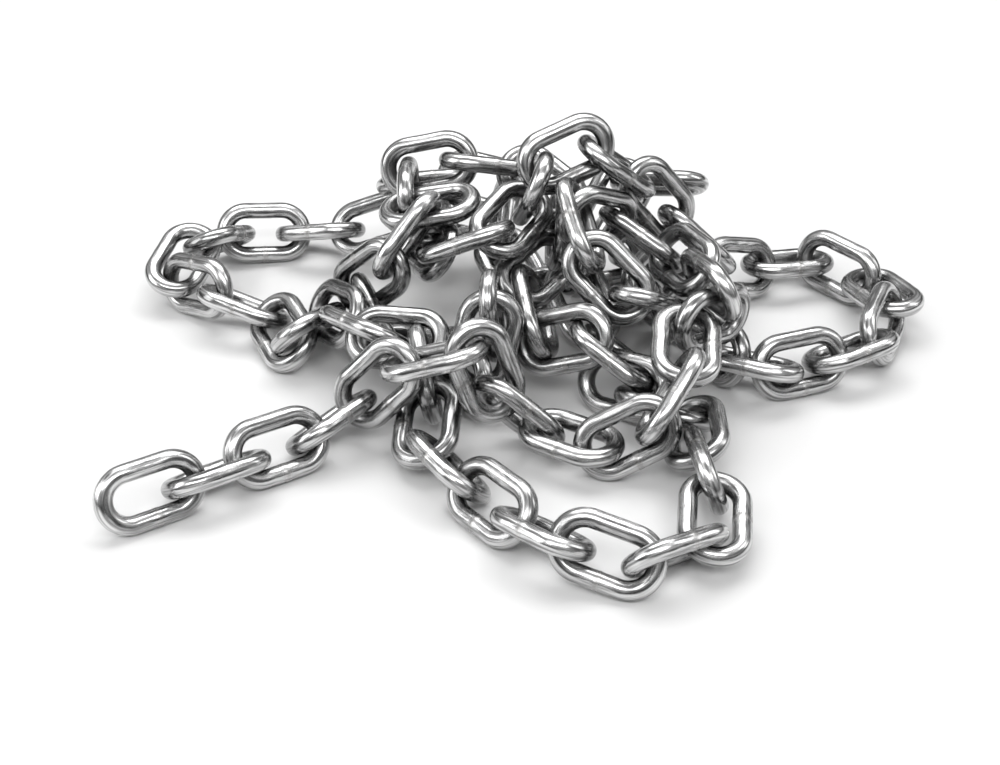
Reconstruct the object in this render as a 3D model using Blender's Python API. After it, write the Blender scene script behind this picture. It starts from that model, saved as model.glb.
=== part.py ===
"""A heap of bright welded steel chain, lying in a tangle on a level floor.

Two lengths of 6 mm chain, 24 mm inside each link, hold 96 links. A tail of six links runs out to the front
left, one loop lies on the floor at the left, one at the right and one in front, and the rest is piled up.
Links that show plainly are a piece each. Runs of links inside the pile are joined into one solid a run.
Sizes are in millimetres until the meshes are made, X to the right, Y to the back, Z up.
"""

import math

import bmesh
import bpy
import numpy as np

MM = 0.001
HEAP_NAME = "iron_chain_heap"

# The link, as the trade sizes it
WIRE_DIAMETER = 6.0
LINK_INNER_LENGTH = 24.0
LINK_OUTER_WIDTH = 22.5

# The link's middle line: two straight legs and two half circles
BEND_RADIUS = (LINK_OUTER_WIDTH - WIRE_DIAMETER) / 2
HALF_STRAIGHT = (LINK_INNER_LENGTH + WIRE_DIAMETER) / 2 - BEND_RADIUS
BEND_STEPS = 6

# The eight-sided wire stands a little proud of the round one at its corners, to make up for its flats
CORNER_RADIUS = 1.02 * WIRE_DIAMETER / 2
GAP = 0.3
BITE = 0.45
SPACING = 2 * CORNER_RADIUS + GAP
JOINED_SPACING = 2 * CORNER_RADIUS - BITE

# Links are laid as the eye meets them from the front, looking down at this angle
VIEW_DOWN = math.radians(33)

# Rounds of making room, and how fast a link goes back to where it was laid
ROUNDS = 320
HOLD = 0.02
HOLD_UNTIL = 0.8
SHARE = 0.75
GYRATION = 10.0
REACH = LINK_INNER_LENGTH + 2 * WIRE_DIAMETER + 1.0
LOOSE = 0.1
DIGITS = 6

# Each row is the point where a link meets the one before, and the link's turn about its own length in degrees:
# 0 shows its full face to the front and 90 its edge. A stretch marked True is joined into one solid.
TAIL = (
    (-115, -83, 9, -10),
    (-96, -71, 9, 83),
    (-79, -59, 9, -5),
    (-61, -47, 9, 80),
    (-48, -32, 11, 5),
    (-32, -34, 26, 88),
)
MIDDLE = (
    (-8, -38, 38, 15),
    (-1, -39, 18, 105),
    (13, -41, 9, 55),
    (32, -53, 9, -5),
    (49, -53, 17, 85),
    (58, -41, 31, 5),
    (62, -19, 36, -40),
)
UNDER_CREST = (
    (78, -6, 30, 85),
    (66, 9, 38, 0),
    (56, 26, 34, 85),
    (42, 34, 44, 0),
)
INNER_RIGHT = (
    (24, 25, 56, 85),
    (28, 8, 47, 0),
)
INNER_FALL = (
    (46, 0, 33, 80),
    (57, 10, 25, 0),
    (56, 26, 14, 80),
)
RIGHT_LOOP = (
    (68, 14, 9, -30),
    (79, -2, 10, 80),
    (91, -7, 9, -5),
    (109, -1, 9, 75),
    (128, 8, 9, -25),
    (141, 31, 12, 35),
    (132, 54, 9, -25),
    (116, 69, 9, 65),
    (98, 64, 9, -5),
)
RIGHT_SLOPE = (
    (81, 47, 16, 85),
    (63, 55, 34, 20),
    (49, 49, 54, 55),
    (29, 39, 72, 5),
    (12, 28, 64, 80),
    (9, 40, 48, 0),
)
LEFT_SLOPE = (
    (-1, 21, 46, 65),
    (-22, 24, 40, -20),
    (-27, 42, 33, 70),
    (-20, 58, 26, -85),
    (-20, 76, 18, -60),
)
LEFT_LOOP = (
    (-38, 84, 20, 15),
    (-56, 84, 14, 85),
    (-80, 91, 9, -5),
    (-101, 88, 10, 60),
    (-107, 66, 18, 5),
    (-119, 51, 6, -15),
    (-102, 39, 9, 82),
    (-79, 31, 9, 5),
    (-68, 5, 9, 80),
)
UNDER_TAIL = (
    (-61, 26, 14, 5),
    (-51, 6, 22, 80),
    (-38, -10, 24, 20),
    (-26, -11, 22, 90),
)
FRONT_LOOP = (
    (-23, -29, 16, 15),
    (-24, -54, 9, 83),
    (-9, -72, 9, -3),
    (5, -89, 9, 83),
    (21, -103, 9, -5),
    (39, -111, 9, 83),
    (62, -102, 9, 10),
    (64, -79, 12, 60),
)
CORE = (
    (61, -51, 9, -10),
    (60, -31, 9, 80),
    (49, -24, 9, -5),
    (35, -11, 9, 75),
    (30, -10, 24, -10),
    (13, -4, 20, 60),
    (9, 13, 30, -20),
    (20, 29, 36, 80),
)
BACK = (
    (22, 52, 42, 10),
    (6, 66, 50, 80),
)
LEFT_CREST = (
    (-15, 60, 54, -12),
    (-33, 61, 46, 85),
    (-32, 43, 47, 60),
    (-26, 32, 47, 80),
    (-38, 22, 35, 10),
)
ARCH = (
    (-52, 29, 17, 90),
    (-38, 12, 11, 53),
    (-21, 2, 11, -45),
    (-8, -14, 12, 0),
    (-4, -8, 36, 80),
)

# The long length from its tail to its hidden end, with the point where it stops
FIRST_LENGTH = (
    ("tail_link", False, TAIL),
    ("middle_link", False, MIDDLE),
    ("under_crest_run", True, UNDER_CREST),
    ("inner_right_link", False, INNER_RIGHT),
    ("inner_fall_run", True, INNER_FALL),
    ("right_loop_link", False, RIGHT_LOOP),
    ("right_slope_link", False, RIGHT_SLOPE),
    ("left_slope_run", True, LEFT_SLOPE),
    ("left_loop_link", False, LEFT_LOOP),
    ("under_tail_run", True, UNDER_TAIL),
    ("front_loop_link", False, FRONT_LOOP),
    ("core_run", True, CORE),
    ("back_run", True, BACK),
    ("left_crest_link", False, LEFT_CREST),
    ("arch_run", True, ARCH),
)
FIRST_END = (0, -3, 14)

# A short length fills the pile from inside, and its free end shows to the right of the crest
FILLING = (
    (68, 66, 41, 90),
    (47, 71, 42, 0),
    (36, 58, 28, 80),
    (26, 40, 18, 0),
    (34, 26, 9, 80),
    (50, 42, 9, 0),
    (62, 60, 9, 80),
    (48, 76, 9, 0),
    (28, 66, 10, 80),
    (8, 52, 10, 10),
    (-1, 72, 15, 80),
    (4, 88, 28, 10),
    (-18, 88, 34, 90),
)
SECOND_LENGTH = (("filling_run", True, FILLING),)
SECOND_END = (-40, 78, 36)

# A link that hangs on its neighbour's leg, and not in its bend, lies between two points of its own
OWN_PLACES = {
    "under_crest_run_1": ((70, -12, 42), (66, 9, 38)),
    "left_loop_link_5": ((-114, 70, 20), (-119, 51, 6)),
    "left_loop_link_9": ((-67, 10, 12), (-61, 26, 14)),
    "core_run_4": ((44, -19, 13), (30, -10, 24)),
    "left_crest_link_3": ((-31, 38, 47), (-8, 38, 52)),
    "arch_run_4": ((-7, -14, 14), (-4, -8, 36)),
}

# The free link at the tail's end is laid with a flat of its wire on the floor, and everything else gives way to it
RESTING_LINK = "tail_link_1"
RESTING_TILT = math.radians(67.5)

STEEL_COLOUR = (0.56, 0.56, 0.57, 1.0)
STEEL_ROUGHNESS = 0.22


class Link:
    """One link: its name, the solid that it belongs to, and the two points between which it is laid."""

    def __init__(self, name, solid, joined, start, end, turn, length):
        self.name = name
        self.solid = solid
        self.joined = joined
        self.start = np.array(start, float)
        self.end = np.array(end, float)
        self.turn = math.radians(turn)
        self.length = length


def links_of(length_number, stretches, last_point):
    """The links of one length of chain, in order."""
    rows = []
    for stretch, joined, points in stretches:
        for number, (x, y, z, turn) in enumerate(points, 1):
            name = f"{stretch}_{number}"
            rows.append((name, stretch if joined else name, joined, (x, y, z), turn))
    ends = [row[3] for row in rows[1:]] + [last_point]
    return [
        Link(name, solid, joined, *OWN_PLACES.get(name, (point, end)), turn, length_number)
        for (name, solid, joined, point, turn), end in zip(rows, ends)
    ]


def all_links():
    return links_of(1, FIRST_LENGTH, FIRST_END) + links_of(2, SECOND_LENGTH, SECOND_END)


def link_outline():
    """Points along the middle line of a link, its length on X and its width on Y."""
    points = []
    for side in (1, -1):
        for step in range(BEND_STEPS + 1):
            angle = side * math.pi / 2 - math.pi * step / BEND_STEPS
            x = side * HALF_STRAIGHT + BEND_RADIUS * math.cos(angle)
            points.append((x, BEND_RADIUS * math.sin(angle), 0.0))
    return np.array(points)


def laid_axes(link):
    """The link's three axes as rows: along it, across it, and square to its face."""
    along = link.end - link.start
    if link.name == RESTING_LINK:
        along = along * (1, 1, 0)
    along = along / np.linalg.norm(along)
    if link.name == RESTING_LINK:
        back = np.cross((0, 0, 1), along)
        across = math.cos(RESTING_TILT) * back + math.sin(RESTING_TILT) * np.array((0, 0, 1))
        return np.array((along, across, np.cross(along, across)))
    view = np.array((0, math.cos(VIEW_DOWN), -math.sin(VIEW_DOWN)))
    away = view - along * (view @ along)
    away = away / np.linalg.norm(away)
    up = np.cross(along, away)
    up = -up if up[2] < 0 else up
    across = math.cos(link.turn) * up + math.sin(link.turn) * away
    return np.array((along, across, np.cross(along, across)))


def nearest_points(starts_a, ends_a, starts_b, ends_b):
    """The nearest points of many pairs of straight pieces."""
    run_a, run_b, offset = ends_a - starts_a, ends_b - starts_b, starts_a - starts_b
    aa, bb, ab = (run_a**2).sum(-1), (run_b**2).sum(-1), (run_a * run_b).sum(-1)
    a_off, b_off = (run_a * offset).sum(-1), (run_b * offset).sum(-1)
    spread = aa * bb - ab**2
    s = np.where(spread > 1e-9, (ab * b_off - a_off * bb) / np.maximum(spread, 1e-9), 0.5)
    s = np.clip(s, 0, 1)
    t = (ab * s + b_off) / bb
    t_kept = np.clip(t, 0, 1)
    s = np.where(t == t_kept, s, np.clip((ab * t_kept - a_off) / aa, 0, 1))
    return starts_a + s[..., None] * run_a, starts_b + t_kept[..., None] * run_b


def turned(axes, turns):
    """The axes of each link after a small turn about a vector, kept square to each other."""
    along = axes[:, 0] + np.cross(turns, axes[:, 0])
    across = axes[:, 1] + np.cross(turns, axes[:, 1])
    along = along / np.linalg.norm(along, axis=1, keepdims=True)
    across = across - along * (across * along).sum(1, keepdims=True)
    across = across / np.linalg.norm(across, axis=1, keepdims=True)
    return np.stack((along, across, np.cross(along, across)), axis=1)


def wanted_spacing(links, pairs):
    """How far apart the middle lines of each pair are to be."""
    spacing = [
        JOINED_SPACING
        if b == a + 1 and links[a].joined and links[a].solid == links[b].solid
        else SPACING
        for a, b in pairs
    ]
    return np.array(spacing)


def make_room(links, centres, axes):
    """Shifts and turns the links, a little each round, until no wires meet and every link touches the next."""
    outline = link_outline()
    first_centres, first_axes = centres.copy(), axes.copy()
    in_line = np.array([a.length == b.length for a, b in zip(links, links[1:])] + [False])
    fixed = np.array([link.name == RESTING_LINK for link in links])
    for number in range(ROUNDS):
        apart = ((centres[:, None] - centres[None]) ** 2).sum(-1)
        pairs = np.argwhere(np.triu(apart < REACH**2, 1))
        first, second = pairs[:, 0], pairs[:, 1]
        points = centres[:, None] + np.einsum("kj,njc->nkc", outline, axes)
        after = np.roll(points, -1, axis=1)
        near_a, near_b = nearest_points(
            points[first][:, :, None], after[first][:, :, None], points[second][:, None], after[second][:, None]
        )
        between = near_a - near_b
        distance = np.sqrt((between**2).sum(-1))
        short = wanted_spacing(links, pairs)[:, None, None] - distance
        push = short > 0
        tightest = distance.reshape(len(pairs), -1).argmin(1)
        for row in np.flatnonzero((second == first + 1) & in_line[first]):
            cell = np.unravel_index(tightest[row], distance.shape[1:])
            push[row][cell] |= short[row][cell] < -LOOSE
        row, i, j = np.nonzero(push)
        direction = between[row, i, j] / np.maximum(distance[row, i, j], 1e-6)[:, None]
        shifts, turns, hits = np.zeros_like(centres), np.zeros_like(centres), np.zeros(len(links))
        for who, point, sign in ((first[row], near_a[row, i, j], 1), (second[row], near_b[row, i, j], -1)):
            lever = np.cross(point - centres[who], sign * direction)
            size = short[row, i, j] / 2 / (1 + (lever**2).sum(-1) / GYRATION**2)
            np.add.at(shifts, who, sign * direction * size[:, None])
            np.add.at(turns, who, lever * size[:, None] / GYRATION**2)
            np.add.at(hits, who, 1)
        evened = np.maximum(hits, 1)[:, None] ** SHARE
        hold = HOLD * max(0.0, 1 - number / (HOLD_UNTIL * ROUNDS))
        back = np.cross(axes[:, 0], first_axes[:, 0]) + np.cross(axes[:, 1], first_axes[:, 1])
        new_centres = centres + shifts / evened
        new_axes = turned(axes, turns / evened)
        lowest = (new_centres[:, None] + np.einsum("kj,njc->nkc", outline, new_axes))[:, :, 2].min(1)
        new_centres[:, 2] += np.maximum(CORNER_RADIUS - lowest, 0)
        new_centres += hold * (first_centres - new_centres)
        new_axes = turned(new_axes, hold * back / 2)
        centres = np.where(fixed[:, None], centres, np.round(new_centres, DIGITS))
        axes = np.where(fixed[:, None, None], axes, np.round(new_axes, DIGITS))
    return centres, axes


def steel():
    material = bpy.data.materials.new("bright_steel")
    material.use_nodes = True
    shader = material.node_tree.nodes["Principled BSDF"]
    shader.inputs["Base Color"].default_value = STEEL_COLOUR
    shader.inputs["Metallic"].default_value = 1.0
    shader.inputs["Roughness"].default_value = STEEL_ROUGHNESS
    return material


def link_mesh():
    """A closed eight-sided wire along the link's middle line."""
    curve = bpy.data.curves.new("link_wire", "CURVE")
    curve.dimensions = "3D"
    curve.bevel_depth = CORNER_RADIUS * MM
    curve.bevel_resolution = 2
    outline = link_outline() * MM
    wire = curve.splines.new("POLY")
    wire.points.add(len(outline) - 1)
    for point, place in zip(wire.points, outline):
        point.co = (*place, 1.0)
    wire.use_cyclic_u = True
    guide = bpy.data.objects.new("link_wire", curve)
    bpy.context.scene.collection.objects.link(guide)
    evaluated = guide.evaluated_get(bpy.context.evaluated_depsgraph_get())
    mesh = bpy.data.meshes.new_from_object(evaluated)
    bpy.data.objects.remove(guide)
    tidy = bmesh.new()
    tidy.from_mesh(mesh)
    bmesh.ops.remove_doubles(tidy, verts=tidy.verts, dist=0.0001 * MM)
    bmesh.ops.recalc_face_normals(tidy, faces=tidy.faces)
    tidy.to_mesh(mesh)
    tidy.free()
    mesh.name = "link"
    mesh.shade_smooth()
    return mesh


def placed(name, mesh, centre, axes, collection):
    """A link's own object, put at its place."""
    piece = bpy.data.objects.new(name, mesh)
    for column in range(3):
        for row in range(3):
            piece.matrix_world[row][column] = axes[column][row]
        piece.matrix_world[column][3] = centre[column] * MM
    collection.objects.link(piece)
    return piece


def join_run(name, pieces, heap):
    """One solid from the links of a run, which bite into each other where they touch."""
    run = pieces[0]
    for other in pieces[1:]:
        union = run.modifiers.new(f"with_{other.name}", "BOOLEAN")
        union.operation = "UNION"
        union.solver = "EXACT"
        union.object = other
        other.hide_render = True
        other.display_type = "WIRE"
    run.name = name
    heap.objects.link(run)


def main():
    for old in list(bpy.data.objects):
        bpy.data.objects.remove(old)
    heap = bpy.data.collections.new(HEAP_NAME)
    spare = bpy.data.collections.new("joined_links")
    bpy.context.scene.collection.children.link(heap)
    bpy.context.scene.collection.children.link(spare)

    links = all_links()
    centres = np.array([(link.start + link.end) / 2 for link in links])
    axes = np.array([laid_axes(link) for link in links])
    resting = [link.name for link in links].index(RESTING_LINK)
    centres[resting, 2] = BEND_RADIUS * math.sin(RESTING_TILT) + CORNER_RADIUS * math.cos(math.pi / 8)
    centres, axes = make_room(links, centres, axes)

    mesh = link_mesh()
    mesh.materials.append(steel())
    corners = np.empty(len(mesh.vertices) * 3)
    mesh.vertices.foreach_get("co", corners)
    corners = corners.reshape(-1, 3) / MM
    every = (centres[:, None] + np.einsum("kj,njc->nkc", corners, axes)).reshape(-1, 3)
    low, high = every.min(0), every.max(0)
    origin = np.array(((low[0] + high[0]) / 2, (low[1] + high[1]) / 2, low[2]))

    runs = {}
    for link, centre, link_axes in zip(links, centres - origin, axes):
        if link.joined:
            piece = placed(link.name, mesh, centre, link_axes, spare)
            runs.setdefault(link.solid, []).append(piece)
        else:
            placed(link.name, mesh, centre, link_axes, heap)
    for name, pieces in runs.items():
        join_run(name, pieces, heap)


if __name__ == "__main__":
    main()
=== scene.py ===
"""The looks of the heap of bright welded steel chain.

Every link is a smooth piece of its own: drawn round wire bent to an oval and butt-welded in the middle of
one leg, then tumbled bright. It stands for the link of the frame that lies at the same place, so the rows of
points and the rule that makes room between the links are the frame's own, in millimetres. The floor, the
light and the camera come last.
"""

import math

import bpy
import numpy as np
from mathutils import Matrix, Vector


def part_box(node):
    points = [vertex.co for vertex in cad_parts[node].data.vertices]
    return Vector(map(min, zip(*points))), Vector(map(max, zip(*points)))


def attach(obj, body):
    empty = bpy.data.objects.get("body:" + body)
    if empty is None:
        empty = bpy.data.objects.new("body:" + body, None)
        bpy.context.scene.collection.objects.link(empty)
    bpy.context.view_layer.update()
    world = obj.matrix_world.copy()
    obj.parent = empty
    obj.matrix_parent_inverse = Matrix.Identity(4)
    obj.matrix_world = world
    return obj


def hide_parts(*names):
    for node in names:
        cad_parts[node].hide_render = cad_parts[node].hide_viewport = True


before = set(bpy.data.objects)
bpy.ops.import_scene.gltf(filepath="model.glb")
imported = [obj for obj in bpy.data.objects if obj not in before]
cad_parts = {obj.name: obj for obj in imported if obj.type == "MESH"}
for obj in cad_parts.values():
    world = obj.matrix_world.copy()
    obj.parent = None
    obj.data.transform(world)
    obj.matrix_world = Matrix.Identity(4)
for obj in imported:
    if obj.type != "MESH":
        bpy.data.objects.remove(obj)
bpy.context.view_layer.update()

MM = 0.001

# The link, as the trade sizes it
WIRE_DIAMETER = 6.0
LINK_INNER_LENGTH = 24.0
LINK_OUTER_WIDTH = 22.5

# The link's middle line: two straight legs and two half circles
BEND_RADIUS = (LINK_OUTER_WIDTH - WIRE_DIAMETER) / 2
HALF_STRAIGHT = (LINK_INNER_LENGTH + WIRE_DIAMETER) / 2 - BEND_RADIUS
BEND_STEPS = 6

# The frame's eight-sided wire, out to its corners and to its flats, and the room that it keeps
CORNER_RADIUS = 1.02 * WIRE_DIAMETER / 2
FLAT_RADIUS = CORNER_RADIUS * math.cos(math.pi / 8)
GAP = 0.3
BITE = 0.45
SPACING = 2 * CORNER_RADIUS + GAP
JOINED_SPACING = 2 * CORNER_RADIUS - BITE

# Links are laid as the eye meets them from the front, looking down at this angle, and so the camera looks too
VIEW_DOWN = math.radians(33)

# Making room: its rounds, how fast a link goes back to where it was laid and for what share of the rounds,
# how far many pushes are evened out, how unwilling a link is to turn, how near the centres of two links are
# when they can meet, how loose a link may hang in the next, and the digits that are kept
ROUNDS = 320
HOLD = 0.02
HOLD_UNTIL = 0.8
SHARE = 0.75
GYRATION = 10.0
REACH = LINK_INNER_LENGTH + 2 * WIRE_DIAMETER + 1.0
LOOSE = 0.1
DIGITS = 6

# Each row is the point where a link meets the one before, and the link's turn about its own length in
# degrees: 0 shows its full face to the front and 90 its edge. A stretch marked True is joined into one solid.
TAIL = (
    (-115, -83, 9, -10),
    (-96, -71, 9, 83),
    (-79, -59, 9, -5),
    (-61, -47, 9, 80),
    (-48, -32, 11, 5),
    (-32, -34, 26, 88),
)
MIDDLE = (
    (-8, -38, 38, 15),
    (-1, -39, 18, 105),
    (13, -41, 9, 55),
    (32, -53, 9, -5),
    (49, -53, 17, 85),
    (58, -41, 31, 5),
    (62, -19, 36, -40),
)
UNDER_CREST = (
    (78, -6, 30, 85),
    (66, 9, 38, 0),
    (56, 26, 34, 85),
    (42, 34, 44, 0),
)
INNER_RIGHT = (
    (24, 25, 56, 85),
    (28, 8, 47, 0),
)
INNER_FALL = (
    (46, 0, 33, 80),
    (57, 10, 25, 0),
    (56, 26, 14, 80),
)
RIGHT_LOOP = (
    (68, 14, 9, -30),
    (79, -2, 10, 80),
    (91, -7, 9, -5),
    (109, -1, 9, 75),
    (128, 8, 9, -25),
    (141, 31, 12, 35),
    (132, 54, 9, -25),
    (116, 69, 9, 65),
    (98, 64, 9, -5),
)
RIGHT_SLOPE = (
    (81, 47, 16, 85),
    (63, 55, 34, 20),
    (49, 49, 54, 55),
    (29, 39, 72, 5),
    (12, 28, 64, 80),
    (9, 40, 48, 0),
)
LEFT_SLOPE = (
    (-1, 21, 46, 65),
    (-22, 24, 40, -20),
    (-27, 42, 33, 70),
    (-20, 58, 26, -85),
    (-20, 76, 18, -60),
)
LEFT_LOOP = (
    (-38, 84, 20, 15),
    (-56, 84, 14, 85),
    (-80, 91, 9, -5),
    (-101, 88, 10, 60),
    (-107, 66, 18, 5),
    (-119, 51, 6, -15),
    (-102, 39, 9, 82),
    (-79, 31, 9, 5),
    (-68, 5, 9, 80),
)
UNDER_TAIL = (
    (-61, 26, 14, 5),
    (-51, 6, 22, 80),
    (-38, -10, 24, 20),
    (-26, -11, 22, 90),
)
FRONT_LOOP = (
    (-23, -29, 16, 15),
    (-24, -54, 9, 83),
    (-9, -72, 9, -3),
    (5, -89, 9, 83),
    (21, -103, 9, -5),
    (39, -111, 9, 83),
    (62, -102, 9, 10),
    (64, -79, 12, 60),
)
CORE = (
    (61, -51, 9, -10),
    (60, -31, 9, 80),
    (49, -24, 9, -5),
    (35, -11, 9, 75),
    (30, -10, 24, -10),
    (13, -4, 20, 60),
    (9, 13, 30, -20),
    (20, 29, 36, 80),
)
BACK = (
    (22, 52, 42, 10),
    (6, 66, 50, 80),
)
LEFT_CREST = (
    (-15, 60, 54, -12),
    (-33, 61, 46, 85),
    (-32, 43, 47, 60),
    (-26, 32, 47, 80),
    (-38, 22, 35, 10),
)
ARCH = (
    (-52, 29, 17, 90),
    (-38, 12, 11, 53),
    (-21, 2, 11, -45),
    (-8, -14, 12, 0),
    (-4, -8, 36, 80),
)

# The long length from its tail to its hidden end, with the point where it stops
FIRST_LENGTH = (
    ("tail_link", False, TAIL),
    ("middle_link", False, MIDDLE),
    ("under_crest_run", True, UNDER_CREST),
    ("inner_right_link", False, INNER_RIGHT),
    ("inner_fall_run", True, INNER_FALL),
    ("right_loop_link", False, RIGHT_LOOP),
    ("right_slope_link", False, RIGHT_SLOPE),
    ("left_slope_run", True, LEFT_SLOPE),
    ("left_loop_link", False, LEFT_LOOP),
    ("under_tail_run", True, UNDER_TAIL),
    ("front_loop_link", False, FRONT_LOOP),
    ("core_run", True, CORE),
    ("back_run", True, BACK),
    ("left_crest_link", False, LEFT_CREST),
    ("arch_run", True, ARCH),
)
FIRST_END = (0, -3, 14)

# A short length fills the pile from inside, and its free end shows to the right of the crest
FILLING = (
    (68, 66, 41, 90),
    (47, 71, 42, 0),
    (36, 58, 28, 80),
    (26, 40, 18, 0),
    (34, 26, 9, 80),
    (50, 42, 9, 0),
    (62, 60, 9, 80),
    (48, 76, 9, 0),
    (28, 66, 10, 80),
    (8, 52, 10, 10),
    (-1, 72, 15, 80),
    (4, 88, 28, 10),
    (-18, 88, 34, 90),
)
SECOND_LENGTH = (("filling_run", True, FILLING),)
SECOND_END = (-40, 78, 36)

# A link that hangs on its neighbour's leg, and not in its bend, lies between two points of its own
OWN_PLACES = {
    "under_crest_run_1": ((70, -12, 42), (66, 9, 38)),
    "left_loop_link_5": ((-114, 70, 20), (-119, 51, 6)),
    "left_loop_link_9": ((-67, 10, 12), (-61, 26, 14)),
    "core_run_4": ((44, -19, 13), (30, -10, 24)),
    "left_crest_link_3": ((-31, 38, 47), (-8, 38, 52)),
    "arch_run_4": ((-7, -14, 14), (-4, -8, 36)),
}

# The free link at the tail's end is laid with a flat of its wire on the floor, and all others give way to it
RESTING_LINK = "tail_link_1"
RESTING_TILT = math.radians(67.5)

# The smooth link: sides of the wire, rings in a half circle, and the steps of half a leg out from its middle
WIRE_SIDES = 22
BEND_RINGS = 44
LEG_STEPS = (0.35, 0.45, 0.5, 0.6, 1.1, 1.75, 2.0)
MERGE = 0.01

# The weld's bead: how much thicker the wire is at each step out from the middle of the welded leg
BEAD = (1.005, 1.012, 1.009, 1.004, 1.0, 1.0, 1.0)

# How far links differ: in width and in the wire's waves in millimetres, and in twist in degrees
WIDTH_PLAY = 0.15
TWIST_PLAY = 0.8
WAVE_LENGTHS = (41.0, 17.0, 9.0)
WAVE_HEIGHT = 0.0175
SEED = 7

# The share of links whose welded leg is the upper one
TURNED_OVER = 0.1

# How far the rub of the inner bends spreads, in radians, and the weld's heat tint, in millimetres
RUB_SPREAD = 0.62
TINT_SPREAD = 0.9

# How far apart the links' own patterns may start
PATTERN_SHIFT = 300.0

# Painted shade in the hollows between links: how far before a point other wires are looked for, how far
# round, and how much wire makes it dark
HOLLOW_AHEAD = 7.0
HOLLOW_REACH = 9.0
HOLLOW_FULL = 20.0
NEAR_LINKS = 60.0
LINE_STEPS = 3

# The steel's patterns: how fine its drawn lines and soft waves are along and across the wire, for each
# millimetre, how fine its smears and pits are, for each metre, and how deep they go, in millimetres
DRAWN_LINES = (0.08, 1.2, 1.2)
SOFT_WAVES = (0.16, 0.45, 0.45)
SMEARS = 140.0
PITS = 2600.0
PATTERN_DEPTH = 0.1

# Greys: the steel's lines from dark to bright, its rubbed bends, its weld, the shade painted into its
# hollows, and the floor
LINE_STOPS = ((0.36, 0.25), (0.6, 0.78))
RUBBED = (0.22, 0.22, 0.22, 1.0)
TINTED = (0.26, 0.24, 0.22, 1.0)
# painted shade: the near-black grey mixed in where other links' wire crowds before the surface
HOLLOW_SHADE_GREY = (0.1, 0.1, 0.1, 1.0)
FLOOR = (0.63, 0.63, 0.63, 1.0)
FLOOR_SIZE = 6.0

# Camera: its distance in millimetres, its focal length and picture in pixels, and its sensor in millimetres
EYE_DISTANCE = 595.3
FOCAL_PIXELS = 1737.7
PICTURE_WIDTH = 1000
SENSOR_WIDTH = 36.0
CLIP_START = 0.01

# The room's light: the height in the sky and its grey there, and each softbox's place, size and watts
SKY = ((0.0, 0.01), (0.14, 0.04), (0.3, 0.36), (1.0, 0.6))
SOFTBOXES = (
    ("front", (0.0, -0.85, 1.05), (1.6, 0.4), 11),
    ("overhead", (0.0, 0.5, 1.2), (1.4, 0.7), 15),
    ("left", (-1.3, -0.3, 0.65), (0.8, 1.0), 8),
    ("right", (1.3, 0.1, 0.85), (0.4, 0.9), 3),
)


def deselect():
    """Leaves nothing selected."""
    for obj in bpy.context.selected_objects:
        obj.select_set(False)


def select_points(mesh, test):
    """Selects the points that pass the test, and the edges and faces between them, and goes to edit mode."""
    bpy.ops.object.mode_set(mode="OBJECT")
    for vertex in mesh.vertices:
        vertex.select = test(vertex.co)
    for edge in mesh.edges:
        edge.select = all(mesh.vertices[i].select for i in edge.vertices)
    for face in mesh.polygons:
        face.select = all(mesh.vertices[i].select for i in face.vertices)
    bpy.ops.object.mode_set(mode="EDIT")


def modelled_link():
    """One link at the origin, its length on X, its width on Y and its weld in the middle of the -Y leg."""
    deselect()
    bpy.ops.mesh.primitive_torus_add(
        major_radius=BEND_RADIUS * MM,
        minor_radius=WIRE_DIAMETER / 2 * MM,
        major_segments=2 * BEND_RINGS,
        minor_segments=WIRE_SIDES,
    )
    link = bpy.context.object
    mesh = link.data
    near = MERGE * MM
    bpy.ops.object.mode_set(mode="EDIT")
    bpy.ops.mesh.select_mode(type="VERT")
    bpy.ops.mesh.select_all(action="SELECT")
    bpy.ops.mesh.bisect(plane_co=(0, 0, 0), plane_no=(1, 0, 0), clear_inner=True)
    bpy.ops.mesh.select_all(action="SELECT")
    bpy.ops.transform.translate(value=(HALF_STRAIGHT * MM, 0, 0))
    reached = HALF_STRAIGHT
    for step, bead in zip(reversed(LEG_STEPS), reversed(BEAD)):
        select_points(mesh, lambda co: abs(co.x - reached * MM) < near)
        bpy.ops.mesh.extrude_region_move(TRANSFORM_OT_translate={"value": (-step * MM, 0, 0)})
        reached -= step
        select_points(mesh, lambda co: abs(co.x - reached * MM) < near and co.y < 0)
        bpy.ops.transform.resize(value=(1, bead, bead), center_override=(reached * MM, -BEND_RADIUS * MM, 0))
    bpy.ops.object.mode_set(mode="OBJECT")
    mirror = link.modifiers.new("other_half", "MIRROR")
    mirror.merge_threshold = near
    bpy.ops.object.modifier_apply(modifier=mirror.name)
    bpy.ops.object.mode_set(mode="EDIT")
    bpy.ops.mesh.select_all(action="SELECT")
    bpy.ops.mesh.remove_doubles(threshold=near)
    bpy.ops.mesh.normals_make_consistent(inside=False)
    bpy.ops.object.mode_set(mode="OBJECT")
    return link


def wire_places(points):
    """Where each point is: how far along the wire from the weld, how far out and up from its middle line, and
    how far the wire has turned since the welded leg, in radians."""
    x, y, up = points.T
    side = np.where(x < 0, -1.0, 1.0)
    past = np.abs(x) - HALF_STRAIGHT
    bend = np.arctan2(past, -y)
    on_leg = past <= 0
    turned_by = np.where(on_leg, np.where(y < 0, 0.0, math.pi), bend)
    along = np.where(on_leg & (y < 0), np.abs(x), HALF_STRAIGHT + BEND_RADIUS * turned_by)
    along = np.where(on_leg & (y > 0), HALF_STRAIGHT * 2 + BEND_RADIUS * math.pi - np.abs(x), along)
    out = np.where(on_leg, np.abs(y), np.hypot(past, y)) - BEND_RADIUS
    return along * side, out, up, turned_by


class Link:
    """One link: its name, the solid that it belongs to, and the two points between which it is laid."""

    def __init__(self, name, solid, joined, start, end, turn, length):
        self.name = name
        self.solid = solid
        self.joined = joined
        self.start = np.array(start, float)
        self.end = np.array(end, float)
        self.turn = math.radians(turn)
        self.length = length


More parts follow.
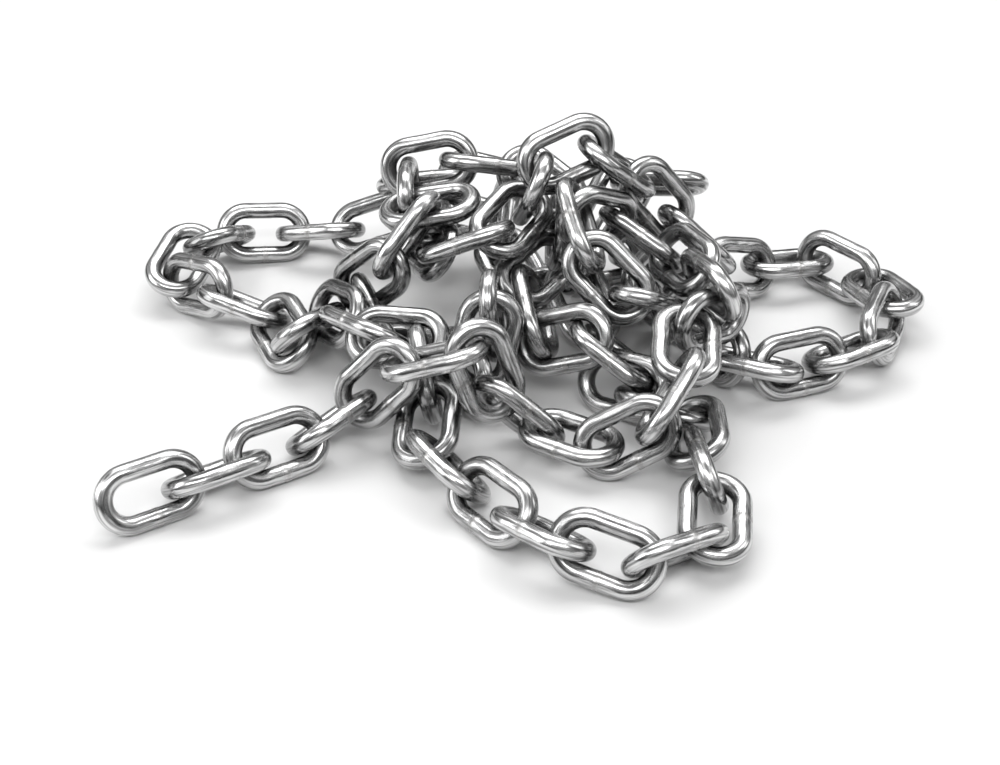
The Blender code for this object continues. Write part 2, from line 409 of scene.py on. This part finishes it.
def links_of(length_number, stretches, last_point):
    """The links of one length of chain, in order."""
    rows = []
    for stretch, joined, points in stretches:
        for number, (x, y, z, turn) in enumerate(points, 1):
            name = f"{stretch}_{number}"
            rows.append((name, stretch if joined else name, joined, (x, y, z), turn))
    ends = [row[3] for row in rows[1:]] + [last_point]
    return [
        Link(name, solid, joined, *OWN_PLACES.get(name, (point, end)), turn, length_number)
        for (name, solid, joined, point, turn), end in zip(rows, ends)
    ]


def all_links():
    """The links of both lengths."""
    return links_of(1, FIRST_LENGTH, FIRST_END) + links_of(2, SECOND_LENGTH, SECOND_END)


def link_outline():
    """Points along the middle line of a link, its length on X and its width on Y."""
    points = []
    for side in (1, -1):
        for step in range(BEND_STEPS + 1):
            angle = side * math.pi / 2 - math.pi * step / BEND_STEPS
            x = side * HALF_STRAIGHT + BEND_RADIUS * math.cos(angle)
            points.append((x, BEND_RADIUS * math.sin(angle), 0.0))
    return np.array(points)


def laid_axes(link):
    """The link's three axes as rows: along it, across it, and square to its face."""
    along = link.end - link.start
    if link.name == RESTING_LINK:
        along = along * (1, 1, 0)
    along = along / np.linalg.norm(along)
    if link.name == RESTING_LINK:
        back = np.cross((0, 0, 1), along)
        across = math.cos(RESTING_TILT) * back + math.sin(RESTING_TILT) * np.array((0, 0, 1))
        return np.array((along, across, np.cross(along, across)))
    view = np.array((0, math.cos(VIEW_DOWN), -math.sin(VIEW_DOWN)))
    away = view - along * (view @ along)
    away = away / np.linalg.norm(away)
    up = np.cross(along, away)
    up = -up if up[2] < 0 else up
    across = math.cos(link.turn) * up + math.sin(link.turn) * away
    return np.array((along, across, np.cross(along, across)))


def nearest_points(starts_a, ends_a, starts_b, ends_b):
    """The nearest points of many pairs of straight pieces."""
    run_a, run_b, offset = ends_a - starts_a, ends_b - starts_b, starts_a - starts_b
    aa, bb, ab = (run_a**2).sum(-1), (run_b**2).sum(-1), (run_a * run_b).sum(-1)
    a_off, b_off = (run_a * offset).sum(-1), (run_b * offset).sum(-1)
    spread = aa * bb - ab**2
    s = np.where(spread > 1e-9, (ab * b_off - a_off * bb) / np.maximum(spread, 1e-9), 0.5)
    s = np.clip(s, 0, 1)
    t = (ab * s + b_off) / bb
    t_kept = np.clip(t, 0, 1)
    s = np.where(t == t_kept, s, np.clip((ab * t_kept - a_off) / aa, 0, 1))
    return starts_a + s[..., None] * run_a, starts_b + t_kept[..., None] * run_b


def turned(axes, turns):
    """The axes of each link after a small turn about a vector, kept square to each other."""
    along = axes[:, 0] + np.cross(turns, axes[:, 0])
    across = axes[:, 1] + np.cross(turns, axes[:, 1])
    along = along / np.linalg.norm(along, axis=1, keepdims=True)
    across = across - along * (across * along).sum(1, keepdims=True)
    across = across / np.linalg.norm(across, axis=1, keepdims=True)
    return np.stack((along, across, np.cross(along, across)), axis=1)


def wanted_spacing(links, pairs):
    """How far apart the middle lines of each pair are to be."""
    spacing = [
        JOINED_SPACING
        if b == a + 1 and links[a].joined and links[a].solid == links[b].solid
        else SPACING
        for a, b in pairs
    ]
    return np.array(spacing)


def make_room(links, centres, axes):
    """Shifts and turns the links, a little each round, until no wires meet and each link touches the next."""
    outline = link_outline()
    first_centres, first_axes = centres.copy(), axes.copy()
    in_line = np.array([a.length == b.length for a, b in zip(links, links[1:])] + [False])
    fixed = np.array([link.name == RESTING_LINK for link in links])
    for number in range(ROUNDS):
        apart = ((centres[:, None] - centres[None]) ** 2).sum(-1)
        pairs = np.argwhere(np.triu(apart < REACH**2, 1))
        first, second = pairs[:, 0], pairs[:, 1]
        points = centres[:, None] + np.einsum("kj,njc->nkc", outline, axes)
        after = np.roll(points, -1, axis=1)
        pieces_a = points[first][:, :, None], after[first][:, :, None]
        pieces_b = points[second][:, None], after[second][:, None]
        near_a, near_b = nearest_points(*pieces_a, *pieces_b)
        between = near_a - near_b
        distance = np.sqrt((between**2).sum(-1))
        short = wanted_spacing(links, pairs)[:, None, None] - distance
        push = short > 0
        tightest = distance.reshape(len(pairs), -1).argmin(1)
        for row in np.flatnonzero((second == first + 1) & in_line[first]):
            cell = np.unravel_index(tightest[row], distance.shape[1:])
            push[row][cell] |= short[row][cell] < -LOOSE
        row, i, j = np.nonzero(push)
        direction = between[row, i, j] / np.maximum(distance[row, i, j], 1e-6)[:, None]
        shifts, turns, hits = np.zeros_like(centres), np.zeros_like(centres), np.zeros(len(links))
        for who, point, sign in ((first[row], near_a[row, i, j], 1), (second[row], near_b[row, i, j], -1)):
            lever = np.cross(point - centres[who], sign * direction)
            size = short[row, i, j] / 2 / (1 + (lever**2).sum(-1) / GYRATION**2)
            np.add.at(shifts, who, sign * direction * size[:, None])
            np.add.at(turns, who, lever * size[:, None] / GYRATION**2)
            np.add.at(hits, who, 1)
        evened = np.maximum(hits, 1)[:, None] ** SHARE
        hold = HOLD * max(0.0, 1 - number / (HOLD_UNTIL * ROUNDS))
        back = np.cross(axes[:, 0], first_axes[:, 0]) + np.cross(axes[:, 1], first_axes[:, 1])
        new_centres = centres + shifts / evened
        new_axes = turned(axes, turns / evened)
        lowest = (new_centres[:, None] + np.einsum("kj,njc->nkc", outline, new_axes))[:, :, 2].min(1)
        new_centres[:, 2] += np.maximum(CORNER_RADIUS - lowest, 0)
        new_centres += hold * (first_centres - new_centres)
        new_axes = turned(new_axes, hold * back / 2)
        centres = np.where(fixed[:, None], centres, np.round(new_centres, DIGITS))
        axes = np.where(fixed[:, None, None], axes, np.round(new_axes, DIGITS))
    return centres, axes


def points_and_normals(mesh):
    """The mesh's points in millimetres, and the way that its surface faces at each."""
    points, normals = np.empty((2, len(mesh.vertices) * 3))
    mesh.vertices.foreach_get("co", points)
    mesh.vertices.foreach_get("normal", normals)
    return points.reshape(-1, 3) / MM, normals.reshape(-1, 3)


def note(mesh, name, values):
    """Keeps one number, or three, on each point of the mesh for the steel to read."""
    kind, field = ("FLOAT_VECTOR", "vector") if values.ndim == 2 else ("FLOAT", "value")
    mesh.attributes.new(name, kind, "POINT").data.foreach_set(field, values.astype(np.float32).ravel())


def knocked_about(mesh, rng):
    """Makes one link a little unlike the others, and notes where on the wire each of its points is."""
    points, normals = points_and_normals(mesh)
    along, out, up, turned_by = wire_places(points)
    round_wire = np.arctan2(up, out)
    inside = np.clip(-np.cos(round_wire), 0, 1)
    waves = np.zeros(len(points))
    for length in WAVE_LENGTHS:
        start, lean = rng.uniform(0, 2 * math.pi, 2)
        waves += np.sin(np.abs(along) * 2 * math.pi / length + start) * np.cos(round_wire + lean)
    points += normals * (WAVE_HEIGHT * waves)[:, None]
    points[:, 1] *= 1 + rng.uniform(-WIDTH_PLAY, WIDTH_PLAY) / (LINK_OUTER_WIDTH / 2)
    twist = math.radians(rng.uniform(-TWIST_PLAY, TWIST_PLAY)) * points[:, 0] / (LINK_INNER_LENGTH / 2)
    y, z = points[:, 1].copy(), points[:, 2].copy()
    points[:, 1] = y * np.cos(twist) - z * np.sin(twist)
    points[:, 2] = y * np.sin(twist) + z * np.cos(twist)
    mesh.vertices.foreach_set("co", (points * MM).ravel())
    radius = WIRE_DIAMETER / 2
    wire = np.stack((np.abs(along), np.cos(round_wire) * radius, np.sin(round_wire) * radius), 1)
    note(mesh, "wire", wire + rng.uniform(0, PATTERN_SHIFT, 3))
    note(mesh, "rub", np.exp(-(((turned_by - math.pi / 2) / RUB_SPREAD) ** 2)) * inside)
    note(mesh, "weld", np.exp(-((along / TINT_SPREAD) ** 2)))


def middle_line(centre, link_axes):
    """Points along a link's middle line in millimetres, and the length of line that each one stands for."""
    corners = link_outline()
    after = np.roll(corners, -1, 0)
    steps = np.arange(LINE_STEPS) / LINE_STEPS
    points = corners[:, None] * (1 - steps[:, None]) + after[:, None] * steps[:, None]
    lengths = np.repeat(np.linalg.norm(after - corners, axis=1) / LINE_STEPS, LINE_STEPS)
    return points.reshape(-1, 3) @ link_axes + centre, lengths


def note_painted_shade(mesh, wires, lengths):
    """Notes on each point of a link how much of the other links' wire stands close before it, from 0 to 1, as
    the share of shade painted there.
    """
    points, normals = points_and_normals(mesh)
    probes = points + normals * HOLLOW_AHEAD
    apart = ((probes[:, None] - wires[None]) ** 2).sum(2)
    wire_near = (np.exp(-apart / HOLLOW_REACH**2) * lengths).sum(1)
    # painted shade: darkness that stands for the light which the crowding wire blocks
    note(mesh, "hollow", 1 - np.exp(-wire_near / HOLLOW_FULL))


class Value:
    """A socket that takes part in sums: each operator adds the Math node that works it out."""

    def __init__(self, recipe, socket):
        self.recipe = recipe
        self.socket = socket

    def _with(self, operation, other, swapped=False):
        pair = (other, self) if swapped else (self, other)
        return self.recipe.node("ShaderNodeMath", {"operation": operation}, {0: pair[0], 1: pair[1]})

    def __add__(self, other):
        return self._with("ADD", other)

    def __radd__(self, other):
        return self._with("ADD", other, True)

    def __mul__(self, other):
        return self._with("MULTIPLY", other)

    def __rmul__(self, other):
        return self._with("MULTIPLY", other, True)


class Recipe:
    """A material, or the room's light, and the nodes that are added to it."""

    def __init__(self, owner, shader="Principled BSDF"):
        owner.use_nodes = True
        self.owner = owner
        self.tree = owner.node_tree
        self.shader = self.tree.nodes[shader]

    def put(self, socket, value):
        """Links a value to a socket, or sets the socket where the value is a number or a colour."""
        if isinstance(value, Value):
            self.tree.links.new(value.socket, socket)
        else:
            socket.default_value = value

    def node(self, kind, settings=None, sockets=None, out=0):
        """Adds a node: its settings, then the values or links of its sockets. Gives one of its outputs."""
        node = self.tree.nodes.new(kind)
        for name, value in (settings or {}).items():
            if name == "stops":
                while len(node.color_ramp.elements) < len(value):
                    node.color_ramp.elements.new(0.5)
                for element, (place, grey) in zip(node.color_ramp.elements, value):
                    element.position = place
                    element.color = (grey, grey, grey, 1.0)
            else:
                setattr(node, name, value)
        for key, value in (sockets or {}).items():
            self.put(node.inputs[key], value)
        return Value(self, node.outputs[out])

    def attribute(self, name, out="Fac"):
        return self.node("ShaderNodeAttribute", {"attribute_name": name}, out=out)

    def stretched(self, place, scale):
        return self.node("ShaderNodeMapping", sockets={"Vector": place, "Scale": scale})

    def noise(self, place, scale, detail):
        return self.node("ShaderNodeTexNoise", sockets={"Vector": place, "Scale": scale, "Detail": detail})

    def mix(self, share, first, second):
        """The first colour, with this share of the second in it."""
        sockets = {"Factor": share, "A": first, "B": second}
        return self.node("ShaderNodeMix", {"data_type": "RGBA"}, sockets, out="Result")

    def finish(self, **values):
        """Fills the shader's sockets, an underscore standing for a space. Gives the material or light."""
        for name, value in values.items():
            self.put(self.shader.inputs[name.replace("_", " ")], value)
        return self.owner


def bright_steel():
    """Bright drawn steel: lines along the wire, soft waves, rubbed bends, tinted welds, and shade painted
    into the hollows between links.
    """
    steel = Recipe(bpy.data.materials.new("bright_steel"))
    wire = steel.attribute("wire", "Vector")
    rub = steel.attribute("rub")
    weld = steel.attribute("weld")
    # painted shade: how crowded with other links' wire the space before each point is
    hollow = steel.attribute("hollow")
    place = steel.node("ShaderNodeTexCoord", out="Object")

    lines = steel.noise(steel.stretched(wire, DRAWN_LINES), 1.0, 3.0)
    waves = steel.noise(steel.stretched(wire, SOFT_WAVES), 1.0, 1.5)
    smears = steel.noise(place, SMEARS, 3.0)
    pits = steel.noise(place, PITS, 2.0)

    colour = steel.node("ShaderNodeValToRGB", {"stops": LINE_STOPS}, {"Fac": lines})
    colour = steel.mix(rub * 0.5, colour, RUBBED)
    colour = steel.mix(weld * 0.25, colour, TINTED)
    # painted shade: near-black grey where other links crowd before the surface, standing for the light they
    # block
    colour = steel.mix(hollow * 0.85, colour, HOLLOW_SHADE_GREY)
    rough = 0.13 + lines * 0.1 + smears * 0.12 + rub * 0.12 + weld * 0.08
    height = lines * 0.55 + waves * 3.2 + pits * (rub * 0.15 + weld * 0.25)
    bump_sockets = {"Strength": 0.6, "Distance": PATTERN_DEPTH * MM, "Height": height}
    bump = steel.node("ShaderNodeBump", sockets=bump_sockets, out="Normal")
    return steel.finish(Base_Color=colour, Metallic=1.0, Roughness=rough, Normal=bump)


def white_floor():
    """A dull light grey, which the light brings to white."""
    floor = Recipe(bpy.data.materials.new("white_floor"))
    return floor.finish(Base_Color=FLOOR, Roughness=0.9)


def room_light():
    """A grey sky, dark along the horizon, for the wire to mirror."""
    room = Recipe(bpy.data.worlds.new("room"), "Background")
    direction = room.node("ShaderNodeTexCoord", out="Generated")
    height = room.node("ShaderNodeSeparateXYZ", sockets={"Vector": direction}, out="Z")
    grey = room.node("ShaderNodeValToRGB", {"stops": SKY}, {"Fac": height})
    return room.finish(Color=grey, Strength=1.0)


def lay_links():
    """The frame's links, with their centres in millimetres where they were laid, and their three axes."""
    links = all_links()
    centres = np.array([(link.start + link.end) / 2 for link in links])
    axes = np.array([laid_axes(link) for link in links])
    resting = [link.name for link in links].index(RESTING_LINK)
    centres[resting, 2] = BEND_RADIUS * math.sin(RESTING_TILT) + FLAT_RADIUS
    centres, axes = make_room(links, centres, axes)
    return links, centres, axes


def frame_origin(links, centres):
    """The part's origin in the laid frame: the mean shift of the links that are nodes of their own."""
    shifts = []
    for link, centre in zip(links, centres):
        if not link.joined:
            low, high = (np.array(corner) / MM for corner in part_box(link.solid))
            shifts.append(centre - (low + high) / 2)
    return np.mean(shifts, axis=0)


def put_in_place(mesh, centre, link_axes):
    """Moves a link's mesh from the origin to its place, and lifts it where it would reach below the floor."""
    mesh.transform(Matrix.Translation(centre * MM) @ Matrix(link_axes).transposed().to_4x4())
    lowest = min(vertex.co.z for vertex in mesh.vertices)
    mesh.transform(Matrix.Translation((0, 0, max(0, -lowest))))


def build_heap():
    """Makes every link smooth where the frame has it. Gives the part's origin in the laid frame."""
    links, centres, axes = lay_links()
    origin = frame_origin(links, centres)
    centres = centres - origin
    wires, lengths = (np.array(values) for values in zip(*map(middle_line, centres, axes)))
    pattern = modelled_link()
    pattern.data.shade_smooth()
    steel = bright_steel()
    rng = np.random.default_rng(SEED)
    for number, link in enumerate(links):
        mesh = pattern.data.copy()
        knocked_about(mesh, rng)
        if rng.random() < TURNED_OVER:
            mesh.transform(Matrix.Rotation(math.pi, 4, "X"))
        put_in_place(mesh, centres[number], axes[number])
        away = np.linalg.norm(centres - centres[number], axis=1)
        near = (away > 0) & (away < NEAR_LINKS)
        # painted shade from the nearby links' wire, kept on the mesh for the steel to darken
        note_painted_shade(mesh, wires[near].reshape(-1, 3), lengths[near].ravel())
        mesh.materials.append(steel)
        piece = bpy.data.objects.new(f"smooth_{link.name}", mesh)
        bpy.context.scene.collection.objects.link(piece)
        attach(piece, "root")
        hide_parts(link.solid)
    bpy.data.objects.remove(pattern)
    return origin


def softbox(name, place, size, power):
    """A bright rectangle that faces the heap."""
    light = bpy.data.lights.new(name, "AREA")
    light.shape = "RECTANGLE"
    light.size, light.size_y = size
    light.energy = power
    lamp = bpy.data.objects.new(name, light)
    lamp.location = place
    lamp.rotation_euler = Vector(place).to_track_quat("Z", "Y").to_euler()
    bpy.context.scene.collection.objects.link(lamp)


def studio(origin):
    """A white floor, softboxes that the wire mirrors as bright bands, and the photo's view."""
    deselect()
    bpy.ops.mesh.primitive_plane_add(size=FLOOR_SIZE, location=(0, 0, 0))
    floor = bpy.context.object
    floor.name = "floor"
    floor.data.materials.append(white_floor())
    for name, place, size, power in SOFTBOXES:
        softbox(name, place, size, power)
    scene = bpy.context.scene
    scene.world = room_light()
    scene.view_settings.view_transform = "Standard"

    forward = np.array((0, math.cos(VIEW_DOWN), -math.sin(VIEW_DOWN)))
    camera = bpy.data.cameras.new("camera")
    camera.sensor_width = SENSOR_WIDTH
    camera.lens = FOCAL_PIXELS / PICTURE_WIDTH * SENSOR_WIDTH
    camera.clip_start = CLIP_START
    eye = bpy.data.objects.new("camera", camera)
    eye.location = (-EYE_DISTANCE * forward - origin) * MM
    eye.rotation_euler = (math.pi / 2 - VIEW_DOWN, 0, 0)
    scene.collection.objects.link(eye)
    scene.camera = eye


studio(build_heap())
